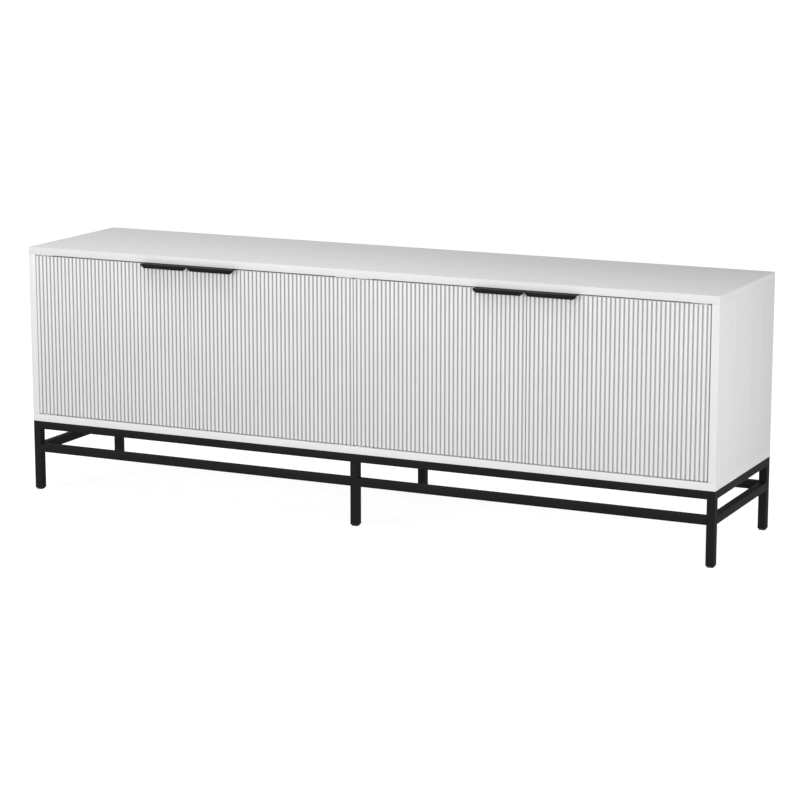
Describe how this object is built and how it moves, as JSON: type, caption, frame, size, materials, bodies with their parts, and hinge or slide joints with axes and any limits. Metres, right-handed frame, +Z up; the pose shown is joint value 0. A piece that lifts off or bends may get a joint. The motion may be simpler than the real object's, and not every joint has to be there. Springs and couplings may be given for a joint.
{
  "type": "media cabinet on a steel stand",
  "caption": "Long low white media cabinet with ribbed inset swing doors, black edge pulls, shelved bays and a black square-tube steel stand.",
  "frame": {"origin": "on the floor, under the middle of the whole object with its door pulls", "axes": "+X to the right along the cabinet as a person faces the doors, +Y from the doors to the back, +Z up"},
  "size_m": [1.8, 0.4168, 0.618],
  "materials": {
    "white_laminate": "matte white melamine film on chipboard, with a very faint straight grain and 1 mm edge banding",
    "white_lacquer": "matte white lacquer on ribbed fibreboard",
    "white_hardboard": "thin hardboard with a white printed face",
    "black_steel": "fine-grained matte black powder coat on steel",
    "zinc_steel": "bright zinc-plated steel",
    "zinc_diecast": "bare zinc die casting",
    "black_plastic": "moulded black plastic",
    "white_plastic": "moulded off-white nylon",
    "beech": "unfinished fluted beech"
  },
  "bodies": {
    "cabinet": {"top_panel": "white_laminate", "bottom_panel": "white_laminate", "side_panel_left": "white_laminate", "side_panel_right": "white_laminate", "centre_partition": "white_laminate", "back_panel_left": "white_hardboard", "back_panel_right": "white_hardboard", "shelf_left": "white_laminate", "shelf_right": "white_laminate", "pivot_plates_upper": "zinc_steel", "pivot_plates_lower": "zinc_steel", "magnetic_catches": "white_plastic", "dowels": "beech", "cam_locks": "zinc_diecast", "cam_bolts": "zinc_steel", "assembly_screws": "zinc_steel", "shelf_pins": "zinc_steel", "pivot_screws": "zinc_steel", "catch_screws": "zinc_steel", "back_screws": "zinc_steel", "frame_screws": "zinc_steel", "foot_glides": "black_plastic", "upper_rail_front": "black_steel", "upper_rail_back": "black_steel", "upper_rail_left": "black_steel", "upper_rail_right": "black_steel", "upper_rail_centre": "black_steel", "lower_rail_front_left": "black_steel", "lower_rail_front_right": "black_steel", "lower_rail_back_left": "black_steel", "lower_rail_back_right": "black_steel", "lower_rail_left": "black_steel", "lower_rail_right": "black_steel", "leg_front_left": "black_steel", "leg_front_centre": "black_steel", "leg_front_right": "black_steel", "leg_back_left": "black_steel", "leg_back_centre": "black_steel", "leg_back_right": "black_steel"},
    "door_1": {"door_panel_1": "white_lacquer", "door_pull_1": "black_steel", "pull_screws_1": "zinc_steel", "pivot_bushes_1": "white_plastic", "strike_plate_1": "zinc_steel"},
    "door_2": {"door_panel_2": "white_lacquer", "door_pull_2": "black_steel", "pull_screws_2": "zinc_steel", "pivot_bushes_2": "white_plastic", "strike_plate_2": "zinc_steel"},
    "door_3": {"door_panel_3": "white_lacquer", "door_pull_3": "black_steel", "pull_screws_3": "zinc_steel", "pivot_bushes_3": "white_plastic", "strike_plate_3": "zinc_steel"},
    "door_4": {"door_panel_4": "white_lacquer", "door_pull_4": "black_steel", "pull_screws_4": "zinc_steel", "pivot_bushes_4": "white_plastic", "strike_plate_4": "zinc_steel"}
  },
  "joints": [
    {"name": "door_1_hinge", "type": "hinge", "parent": "cabinet", "child": "door_1", "pos_m": [-0.86405, -0.1826, 0.3975], "axis": [0, 0, -1], "range_deg": [0, 110]},
    {"name": "door_2_hinge", "type": "hinge", "parent": "cabinet", "child": "door_2", "pos_m": [-0.01645, -0.1826, 0.3975], "axis": [0, 0, 1], "range_deg": [0, 87]},
    {"name": "door_3_hinge", "type": "hinge", "parent": "cabinet", "child": "door_3", "pos_m": [0.01645, -0.1826, 0.3975], "axis": [0, 0, -1], "range_deg": [0, 87]},
    {"name": "door_4_hinge", "type": "hinge", "parent": "cabinet", "child": "door_4", "pos_m": [0.86405, -0.1826, 0.3975], "axis": [0, 0, 1], "range_deg": [0, 110]}
  ]
}
